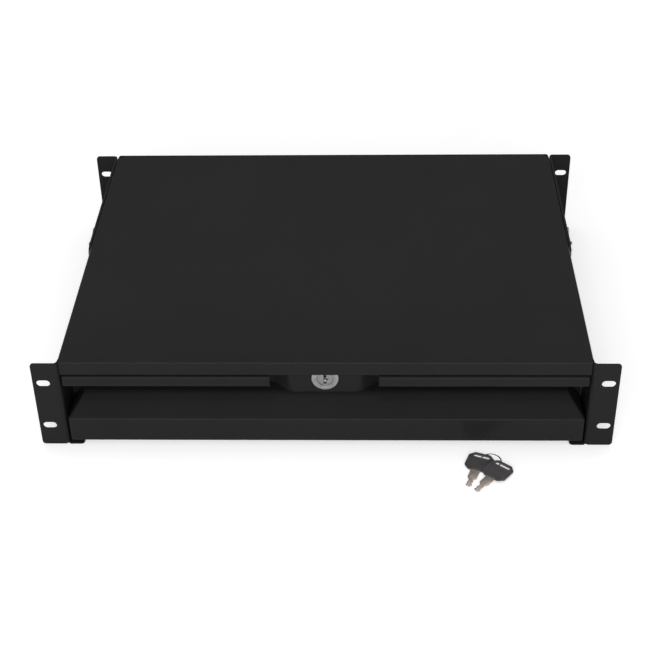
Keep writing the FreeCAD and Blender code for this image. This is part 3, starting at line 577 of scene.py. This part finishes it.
# ---------------------------------------------------------------- fasteners
def threaded(low, high, radius, pitch, depth):
    """Profile points of a thread from low to high, as rings."""
    count = max(1, int((high - low) / pitch))
    step = (high - low) / count
    points = []
    for i in range(count):
        z = low + i * step
        points += [(radius - depth, z), (radius - depth, z + 0.2 * step), (radius, z + 0.45 * step),
                   (radius, z + 0.75 * step)]
    return points + [(radius - depth, high)]


def cross_recess(radius, depth, top):
    """Cutter for a cross recess, tapering to the bottom."""
    wing, half = 0.52 * radius, 0.13 * radius
    tool = None
    for turn in (0, math.pi / 2):
        work = bmesh.new()
        rings = []
        for scale, z in ((0.45, top - depth), (1.0, top), (1.0, top + depth)):
            corners = [(-wing, -half), (wing, -half), (wing, half), (-wing, half)]
            rings.append([work.verts.new((x * scale, y * (0.6 + 0.4 * scale), z)) for x, y in corners])
        work.faces.new(rings[0][::-1])
        work.faces.new(rings[-1])
        for low, high in zip(rings, rings[1:]):
            for i in range(4):
                j = (i + 1) % 4
                work.faces.new([low[i], low[j], high[j], high[i]])
        bmesh.ops.rotate(work, verts=work.verts, cent=(0, 0, 0), matrix=Matrix.Rotation(turn, 3, "Z"))
        arm = as_mesh(work)
        tool = arm if tool is None else boolean(tool, arm, "UNION")
    return tool


def quarter(steps):
    """Angles of a quarter turn, in that many steps."""
    return [math.pi / 2 * i / steps for i in range(steps + 1)]


def pan_head(head_r, head_t, shank_r, shank, **_):
    """Low domed head with a cross recess, on a threaded shank with a chamfered end."""
    end = -shank + 0.3 * shank_r
    profile = [(0, -shank), (0.75 * shank_r, -shank), (shank_r, end)]
    profile += threaded(end, -0.15 * shank_r, shank_r, SCREW_PITCH, SCREW_THREAD)
    profile += [(shank_r, 0), (0.97 * head_r, 0), (head_r, 0.06 * head_t)]
    rise = 0.35 * head_t
    for turn in quarter(8):
        profile.append((head_r * (0.72 + 0.28 * math.cos(turn)), rise + (head_t - rise) * math.sin(turn)))
    profile += [(0, head_t)]
    return boolean(lathe(profile, SCREW_SEGMENTS), cross_recess(head_r, 0.6 * head_t, head_t))


def chamfered_hex(flat_radius, low, high, both_ends=False):
    """Hexagon whose corners are turned off at 30 degrees."""
    corner = flat_radius / math.cos(math.pi / 6)
    turned_off = (corner - flat_radius) * 0.55
    wide = corner + turned_off
    start = [(0, low), (flat_radius, low), (wide, low + turned_off)] if both_ends else [(0, low), (wide, low)]
    end = [(wide, high - turned_off), (0.97 * flat_radius, high), (0, high)]
    limit = lathe(start + end, HEX_SEGMENTS)
    return boolean(prism(regular(6, flat_radius), low, high), limit, "INTERSECT")


def flange_bolt(head_r, head_t, shank_r, shank, **_):
    """Hexagon bolt with a washer face under its head and a threaded end."""
    washer = 0.28 * head_t
    profile = [(0, -shank), (0.75 * shank_r, -shank), (0.95 * shank_r, -shank + 0.2 * shank_r)]
    profile += threaded(-shank + 0.25 * shank_r, -0.45 * shank, shank_r, BOLT_PITCH, BOLT_THREAD)
    profile += [(shank_r, -0.44 * shank), (shank_r, 0), (0.97 * head_r, 0), (head_r, 0.4 * washer),
                (0.97 * head_r, 0.8 * washer), (0.85 * head_r, 1.1 * washer), (0, 1.1 * washer)]
    head = chamfered_hex(0.8 * head_r, 0.5 * washer, head_t)
    above = 1.1 * head_t
    dimple = [(0, 0.93 * head_t), (0.4 * head_r, head_t), (0.4 * head_r, above), (0, above)]
    head = boolean(head, lathe(dimple, SCREW_SEGMENTS))
    return boolean(lathe(profile, SCREW_SEGMENTS), head, "UNION")


def nut(points, axis):
    """Chamfered nut with a threaded bore, and its place."""
    spans, centre = box_of(points)
    reach = [from_axis(p, centre, axis) for p in points]
    flat_radius = max(reach) * math.cos(math.pi / 6)
    bore = min(reach)
    thickness = spans[axis][1] - spans[axis][0]
    hexagon = chamfered_hex(flat_radius, 0, thickness, both_ends=True)
    wide = bore + 2 * NUT_SINK
    cut = [(0, -NUT_SINK), (wide, -NUT_SINK), (bore, NUT_SINK)]
    cut += threaded(NUT_SINK, thickness - NUT_SINK, bore + NUT_THREAD, BOLT_PITCH, NUT_THREAD)
    cut += [(wide, thickness + NUT_SINK), (0, thickness + NUT_SINK)]
    base = centre.copy()
    base[axis] = spans[axis][0]
    direction = Vector([1.0 if i == axis else 0.0 for i in range(3)])
    return boolean(hexagon, lathe(cut, SCREW_SEGMENTS)), place_along(base, direction)


def screws(node, places, body, look, build=pan_head, turns=SCREW_TURNS):
    """Every screw of a node, made once and copied to its places; each is turned further than the last."""
    mesh = build(**places[0])
    parts = []
    for i, place in enumerate(places):
        turn = Matrix.Rotation(math.radians(turns[0] + turns[1] * i), 4, "Z")
        parts.append((mesh, place_along(place["base"], place["direction"]) @ turn))
    piece(node + "_detail", parts, look, node, body)


def places_along(node, axis):
    return [screw_place(points, axis) for points in solids(node)]


def nuts(node, axis, body, look):
    piece(node + "_detail", [nut(points, axis) for points in solids(node)], look, node, body)


def fasteners():
    for node, axis, body, look in (("rear_panel_screws", 1, "case", BLACK_ZINC),
                                   ("slide_outer_screws", 0, "case", ZINC_PLAIN),
                                   ("slide_inner_screws", 0, "drawer", ZINC_PLAIN),
                                   ("cam_screw", 1, "plug", ZINC_PLAIN)):
        screws(node, places_along(node, axis), body, look)
    for side in SIDES:
        bolts = "bracket_bolts_" + side
        screws(bolts, places_along(bolts, 0), "case", ZINC_PLAIN, flange_bolt, BOLT_TURNS)
        nuts("bracket_nuts_" + side, 0, "case", ZINC_PLAIN)
    nuts("lock_nut", 1, "drawer", LOCK_CHROME)
    # some of the front's screws point along Y and some along Z; measured along the wrong axis, a head
    # comes out too thick or a shank too short
    both = zip(places_along("front_screws", 1), places_along("front_screws", 2))
    front = [y if y["shank"] > 0.2 * MM and y["head_t"] < z["head_t"] else z for y, z in both]
    screws("front_screws", front, "drawer", BLACK_ZINC, turns=FRONT_TURNS)


def balls():
    for row in ("outer", "inner"):
        for side in SIDES:
            node = "{}_balls_{}".format(row, side)
            work = bmesh.new()
            for points in solids(node):
                centre = box_of(points)[1]
                radius = max((p - centre).length for p in points)
                place = Matrix.Translation(centre)
                bmesh.ops.create_icosphere(work, subdivisions=3, radius=radius, matrix=place)
            body = "{}_cage_{}".format(row, side)
            piece(node + "_detail", [(as_mesh(work), Matrix.Identity(4))], BALL_STEEL, node, body)


def buffers():
    """Turned rubber buffers: rounded nose, a shallow groove at the foot, stem and barb."""
    parts = []
    for points in solids("rear_bumpers"):
        spans, centre = box_of(points)
        low, high = spans[1]
        reach = [from_axis(p, centre, 1) for p in points]
        radius, stem = max(reach), min(reach)
        seat = max(p.y for p, r in zip(points, reach) if r > 0.9 * radius)
        foot = high - seat
        length = seat - low
        barb = min(r for r in reach if r > 1.2 * stem)
        profile = [(0, -foot), (0.8 * barb, -foot), (barb, -0.6 * foot), (0.98 * barb, -0.56 * foot),
                   (stem, -0.5 * foot), (stem, 0), (0.96 * radius, 0), (radius, 0.4 * MM), (radius, 1.6 * MM)]
        groove = 0.93 * radius
        profile += [(groove, 2.0 * MM), (groove, 2.6 * MM), (radius, 3.0 * MM)]
        inner, below = radius - BUFFER_NOSE, length - BUFFER_NOSE
        for turn in quarter(6)[::-1]:
            profile.append((inner + BUFFER_NOSE * math.sin(turn), below + BUFFER_NOSE * math.cos(turn)))
        dish = length - 0.8 * MM
        profile += [(0.35 * radius, length), (0.3 * radius, dish), (0, dish)]
        place = place_along(Vector((centre.x, seat, centre.z)), Vector((0, -1, 0)))
        parts.append((lathe(profile, BUFFER_SEGMENTS), place))
    piece("rear_bumpers_detail", parts, RUBBER, "rear_bumpers", "case")


# ---------------------------------------------------------------- cam lock
def lock_body(place, seat_y):
    """Threaded barrel with two flats, a face with a rounded rim, and a sunk ring round the plug."""
    low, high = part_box("lock_body")
    face_r = (high.x - low.x) / 2
    face, back = seat_y - low.y, seat_y - high.y
    bore, field = PLUG_R + PLUG_GAP, PLUG_R + LOCK_RING
    neck = 0.95 * BARREL_R
    profile = [(bore, back), (neck, back)]
    profile += threaded(back + 0.4 * MM, -1.2 * MM, BARREL_R, BARREL_PITCH, BARREL_THREAD)
    profile += [(neck, -0.2 * MM), (neck, 0), (0.985 * face_r, 0), (face_r, 0.2 * MM)]
    for turn in quarter(8):
        profile.append((face_r - LOCK_RIM * (1 - math.cos(turn)), face - LOCK_RIM * (1 - math.sin(turn))))
    groove, sunk = face - LOCK_GROOVE, face - LOCK_FIELD
    profile += [(field + 0.5 * MM, face), (field + 0.3 * MM, groove), (field + 0.1 * MM, groove),
                (field, sunk), (bore + 0.1 * MM, sunk), (bore, face - 0.2 * MM)]
    body = lathe(profile, LOCK_SEGMENTS, closed=True)
    beyond = 2 * BARREL_R
    for x0, x1 in ((-beyond, -BARREL_FLATS / 2), (BARREL_FLATS / 2, beyond)):
        body = boolean(body, block(x0, x1, -beyond, beyond, back - 1 * MM, -0.1 * MM))
    piece("lock_body_detail", [(body, place)], LOCK_CHROME, "lock_body", "drawer")


def lock_plug(place, seat_y):
    """Plug with a chamfered face, a keyway with a ward and the cam's square; returns its face's height."""
    low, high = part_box("lock_plug")
    front, cam_y, end = seat_y - low.y, seat_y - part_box("lock_cam")[0].y, seat_y - high.y
    plug = lathe([(0, cam_y), (PLUG_R, cam_y), (PLUG_R, front - PLUG_EDGE), (PLUG_R - PLUG_EDGE, front),
                  (0, front)], LOCK_SEGMENTS)
    half = CAM_SQUARE / 2
    plug = boolean(plug, block(-half, half, -half, half, end, cam_y + 1 * MM), "UNION")
    width, height = KEYWAY_WIDTH / 2, KEYWAY_HEIGHT / 2
    keyway = [(-width, -height), (width, -height), (width, -WARD_HEIGHT), (2 * width, -WARD_HEIGHT),
              (2 * width, 0), (width, 0), (width, height), (-width, height)]
    keyway = prism(rounded(keyway, 0.25 * MM, 3), front - KEYWAY_DEPTH, front + 1 * MM)
    plug = bevelled(boolean(plug, keyway), 0.12 * MM)
    piece("lock_plug_detail", [(plug, place)], PLUG_CHROME, "lock_plug", "plug")
    return front


def lock_wafers(place, front):
    """Wafers that stand into the keyway from both ends, each at its own height."""
    width, height = KEYWAY_WIDTH / 2, KEYWAY_HEIGHT / 2
    free = WAFER_END * height
    wafers = []
    for i, lift in enumerate(WAFER_LIFTS):
        z = front - WAFER_FIRST - i * WAFER_PITCH
        for y0, y1 in ((-height, -free + lift * MM), (free + lift * MM, height)):
            wafer = block(-width, width, y0, y1, z - WAFER_HALF, z + WAFER_HALF)
            wafers.append((bevelled(wafer, 0.06 * MM), place))
    piece("lock_wafers", wafers, KEY_METAL, None, "plug")


def lock():
    """The lock's pieces, turned about their own Z, which points out of the drawer's front."""
    low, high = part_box("lock_body")
    seat_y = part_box("lock_panel")[0].y
    axis_z = (low.z + high.z) / 2
    place = Matrix(((1, 0, 0, 0), (0, 0, -1, seat_y), (0, 1, 0, axis_z), (0, 0, 0, 1)))
    lock_body(place, seat_y)
    front = lock_plug(place, seat_y)
    lock_wafers(place, front)


# ---------------------------------------------------------------- keys
def points_of(node):
    return [point for group in solids(node) for point in group]


def mean(points):
    return sum(points, Vector()) / len(points)


def key_frame(head, blade):
    """A key's place, the size of its head and the place of its tip.

    In the key's own frame the neck is the origin and the blade points to -Y."""
    head_points, blade_points = points_of(head), points_of(blade)
    along = mean(head_points) - mean(blade_points)
    along.z = 0.0
    along.normalize()
    across = Vector((along.y, -along.x, 0.0))
    neck_u, top_u = span(p.dot(along) for p in head_points)
    left, right = span(p.dot(across) for p in head_points)
    low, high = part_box(head)
    neck = along * neck_u + across * (left + right) / 2
    matrix = Matrix(((across.x, along.x, 0, neck.x), (across.y, along.y, 0, neck.y),
                     (0, 0, 1, low.z), (0, 0, 0, 1)))
    tip = min(p.dot(along) for p in blade_points) - neck_u + KEY_TIP_CLEAR
    return matrix, (right - left) / 2, top_u - neck_u, high.z - low.z, tip


def head_outline(half, height, inset):
    """Outline of a key's head with its corners cut off, drawn in by the inset."""
    corner = KEY_CORNER * half
    right = [(half - corner, 0), (half, corner), (half, height - corner), (half - corner, height)]
    points = [(x - math.copysign(inset, x) * (1 if abs(x) >= half else 0.45), y) for x, y in right]
    points = [(x, min(max(y, inset), height - inset)) for x, y in points]
    return rounded(points + [(-x, y) for x, y in points[::-1]], KEY_ROUNDING, 5)


def slot_outline(height, grow):
    """Outline of the head's slot, made wider all round."""
    half, top = KEY_SLOT_LENGTH / 2 + grow, height - KEY_RIM + grow
    bottom = height - KEY_RIM - KEY_SLOT_WIDTH - grow
    return rounded([(-half, bottom), (half, bottom), (half, top), (-half, top)], (top - bottom) / 2 * 0.98, 6)


def key_head(half, height, thick):
    """Moulded head: rounded edges, sunk fields on both faces and a slot with a raised rim."""
    head = bevelled(prism(head_outline(half, height, 0), 0, thick), 0.32 * MM, 3)
    rim = prism(slot_outline(height, KEY_SLOT_RIM), -thick, 2 * thick)
    for low, high in ((-thick, KEY_FIELD_DEPTH), (thick - KEY_FIELD_DEPTH, 2 * thick)):
        field = boolean(prism(head_outline(half, height, KEY_FIELD_INSET), low, high), rim)
        head = boolean(head, field)
    return boolean(head, prism(slot_outline(height, 0), -thick, 2 * thick))


def key_blade(thick, tip):
    """Flat blade with a shoulder, cuts on both edges, a tapered tip and a groove along each face."""
    wide, narrow = KEY_BLADE_WIDTH / 2, KEY_TIP_WIDTH / 2
    start, end = -KEY_SHOULDER - 1.6 * MM, tip + 2.2 * MM
    step = (end - start) / len(KEY_CUTS)
    edges = []
    for depths in (KEY_CUTS, KEY_CUTS[::-1]):
        edge = [(wide, KEY_ROOT), (wide, -KEY_SHOULDER), (narrow, start)]
        for i, depth in enumerate(depths):
            middle = start + (i + 0.5) * step
            cut = narrow - depth * MM
            edge += [(cut, middle - 0.22 * step), (cut, middle + 0.22 * step)]
        edge += [(narrow, end), (0.75 * narrow, tip + 0.7 * MM), (0.25 * narrow, tip)]
        edges.append(edge)
    blade = prism(edges[0] + [(-x, y) for x, y in edges[1][::-1]], 0, thick)
    blade = bevelled(blade, 0.1 * MM)
    groove = KEY_GROOVE / 2
    for side, z in ((-1, 0.0), (1, thick)):
        cutter = block(-groove, groove, tip - 1 * MM, -KEY_SHOULDER + 4 * MM,
                       z - KEY_GROOVE_DEPTH, z + KEY_GROOVE_DEPTH)
        cutter.transform(Matrix.Translation((side * KEY_GROOVE_SHIFT, 0, 0)))
        blade = boolean(blade, cutter)
    return blade


def split_ring():
    """Split ring of flat wire in two turns that lie on each other."""
    low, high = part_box("key_ring")
    centre = (low + high) / 2
    half = RING_WIRE / 2
    radius = (high.x - low.x) / 2 - half
    rise = high.z - low.z
    thick = rise / 3.05
    flat = thick / 2
    section = rounded([(-half, -flat), (half, -flat), (half, flat), (-half, flat)], 0.45 * thick, 3)
    work = bmesh.new()
    rings = []
    for i in range(RING_STEPS + 1):
        share = i / RING_STEPS
        turn = RING_TURNS * 2 * math.pi * share + RING_START
        x, y = math.cos(turn), math.sin(turn)
        z = low.z + flat + (rise - thick) * share
        rings.append([work.verts.new((centre.x + (radius + r) * x, centre.y + (radius + r) * y, z + h))
                      for r, h in section])
    count = len(section)
    for near, far in zip(rings, rings[1:]):
        for i in range(count):
            j = (i + 1) % count
            work.faces.new([near[i], near[j], far[j], far[i]])
    work.faces.new(rings[0][::-1])
    work.faces.new(rings[-1])
    piece("key_ring_detail", [(as_mesh(work), Matrix.Identity(4))], RING_STEEL, "key_ring", "keys")


def keys():
    for name in ("a", "b"):
        head, blade = "key_head_" + name, "key_blade_" + name
        matrix, half, height, thick, tip = key_frame(head, blade)
        piece(head + "_detail", [(key_head(half, height, thick), matrix)], KEY_PLASTIC, head, "keys")
        low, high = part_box(blade)
        lift = Matrix.Translation((0, 0, low.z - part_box(head)[0].z))
        piece(blade + "_detail", [(key_blade(high.z - low.z, tip), matrix @ lift)], KEY_METAL, blade, "keys")
    split_ring()


fasteners()
balls()
buffers()
lock()
keys()


# ---------------------------------------------------------------- camera
def camera():
    turn = Euler((math.pi / 2 - PITCH, 0, YAW)).to_matrix() @ Matrix.Rotation(-ROLL, 3, "Z")
    data = bpy.data.cameras.new("camera")
    data.sensor_width = 36.0
    data.lens = LENS
    data.clip_start = 0.01
    obj = bpy.data.objects.new("camera", data)
    obj.matrix_world = Matrix.Translation(EYE) @ turn.to_4x4()
    bpy.context.scene.collection.objects.link(obj)
    bpy.context.scene.camera = obj


# ---------------------------------------------------------------- floor and light
def chosen(tree, share, first, second):
    """One shader or the other, by a share that is 0 or 1."""
    choice = tree.nodes.new("ShaderNodeMixShader")
    for socket, source in zip(choice.inputs, (share, first, second)):
        tree.links.new(source, socket)
    return choice.outputs[0]


def floor_glow(n):
    """Strength of the floor's white for the eye.

    It is full far away, less near the object, so that the shadow stays, and none under the case, which is
    painted shade there."""
    parts = n.tree.nodes.new("ShaderNodeSeparateXYZ")
    n.tree.links.new(n.place, parts.inputs[0])
    x, y = n.math("ABSOLUTE", parts.outputs["X"]), parts.outputs["Y"]
    away = n.math("SQRT", n.math("ADD", n.math("MULTIPLY", x, x), n.math("MULTIPLY", y, y)))
    glow = n.fit(away, GLOW_NEAR, GLOW_FAR, GLOW, 1.0)
    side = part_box("rear_panel")[1].x - GLOW_INSET
    front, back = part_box("case_shell")[0].y + GLOW_INSET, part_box("case_shell")[1].y - GLOW_INSET
    half = (back - front) / 2
    from_middle = n.math("ABSOLUTE", n.math("SUBTRACT", y, (front + back) / 2))
    # painted shade: the floor's white taken away under the case, with a soft edge inside its walls
    painted_case_shade = n.math("MULTIPLY", n.fit(x, side, side - GLOW_INSET),
                     n.fit(from_middle, half, half - GLOW_INSET))
    return n.math("MULTIPLY", glow, n.math("SUBTRACT", 1.0, painted_case_shade))


def white_for_eye(n, strength):
    """A material's shader with plain white added for camera, glossy and transmission rays."""
    tree = n.tree
    path = tree.nodes.new("ShaderNodeLightPath")
    seen = path.outputs["Is Camera Ray"]
    for ray in ("Is Glossy Ray", "Is Transmission Ray"):
        seen = n.math("MAXIMUM", seen, path.outputs[ray])
    glow = tree.nodes.new("ShaderNodeEmission")
    glow.inputs["Color"].default_value = WHITE
    tree.links.new(strength, glow.inputs["Strength"])
    black = tree.nodes.new("ShaderNodeEmission")
    black.inputs["Strength"].default_value = 0.0
    total = tree.nodes.new("ShaderNodeAddShader")
    tree.links.new(n.shader.outputs[0], total.inputs[0])
    tree.links.new(chosen(tree, seen, black.outputs[0], glow.outputs[0]), total.inputs[1])
    return total.outputs[0]


def floor():
    mesh = bpy.data.meshes.new("floor")
    half, z = FLOOR_HALF, cad_box[0][2]
    corners = [(-half, -half, z), (half, -half, z), (half, half, z), (-half, half, z)]
    mesh.from_pydata(corners, [], [(0, 1, 2, 3)])
    obj = bpy.data.objects.new("floor", mesh)
    bpy.context.scene.collection.objects.link(obj)
    n = Nodes("floor_paper", Roughness=0.9, Specular_IOR_Level=0.0)
    n.finish(Base_Color=n.mix(n.noise(3.0), srgb(226), srgb(230)))
    out = n.tree.nodes["Material Output"]
    n.tree.links.new(white_for_eye(n, floor_glow(n)), out.inputs["Surface"])
    mesh.materials.append(n.material)


def softbox(name, place, target, size, power):
    data = bpy.data.lights.new(name, "AREA")
    data.shape = "RECTANGLE"
    data.size, data.size_y = size
    data.energy = power
    obj = bpy.data.objects.new(name, data)
    obj.location = place
    obj.rotation_euler = (Vector(target) - Vector(place)).to_track_quat("-Z", "Y").to_euler()
    bpy.context.scene.collection.objects.link(obj)


def reflected(tree):
    """Strength of the world in reflections: a backdrop that grows paler to its top, and a ceiling."""
    place = tree.nodes.new("ShaderNodeTexCoord")
    parts = tree.nodes.new("ShaderNodeSeparateXYZ")
    tree.links.new(place.outputs["Generated"], parts.inputs[0])
    wall = tree.nodes.new("ShaderNodeMath")
    wall.operation = "MULTIPLY"
    both = tree.nodes.new("ShaderNodeMath")
    tree.links.new(wall.outputs[0], both.inputs[0])
    bands = ((BACKDROP, wall.inputs[0]), (BACKDROP_TOP, wall.inputs[1]), (CEILING, both.inputs[1]))
    for band, target in bands:
        rise = tree.nodes.new("ShaderNodeMapRange")
        rise.interpolation_type = "SMOOTHSTEP"
        for socket, value in zip(("From Min", "From Max", "To Min", "To Max"), band):
            rise.inputs[socket].default_value = value
        tree.links.new(parts.outputs["Z"], rise.inputs["Value"])
        tree.links.new(rise.outputs["Result"], target)
    return both.outputs[0]


def world():
    """Even light; white for the eye and through glass, and a studio for reflections."""
    scene = bpy.context.scene
    scene.world = bpy.data.worlds.new("world")
    scene.world.use_nodes = True
    tree = scene.world.node_tree
    tree.nodes.clear()
    path = tree.nodes.new("ShaderNodeLightPath")
    even, studio, white = (tree.nodes.new("ShaderNodeBackground") for _ in range(3))
    for look, strength in ((even, AMBIENT), (white, 1.0)):
        look.inputs["Color"].default_value = WHITE
        look.inputs["Strength"].default_value = strength
    tree.links.new(reflected(tree), studio.inputs["Strength"])
    total = even.outputs[0]
    for ray, look in (("Is Glossy Ray", studio), ("Is Transmission Ray", white), ("Is Camera Ray", white)):
        total = chosen(tree, path.outputs[ray], total, look.outputs[0])
    out = tree.nodes.new("ShaderNodeOutputWorld")
    tree.links.new(total, out.inputs["Surface"])


camera()
floor()
world()
for light in LIGHTS:
    softbox(*light)
bpy.context.scene.view_settings.view_transform = "Standard"
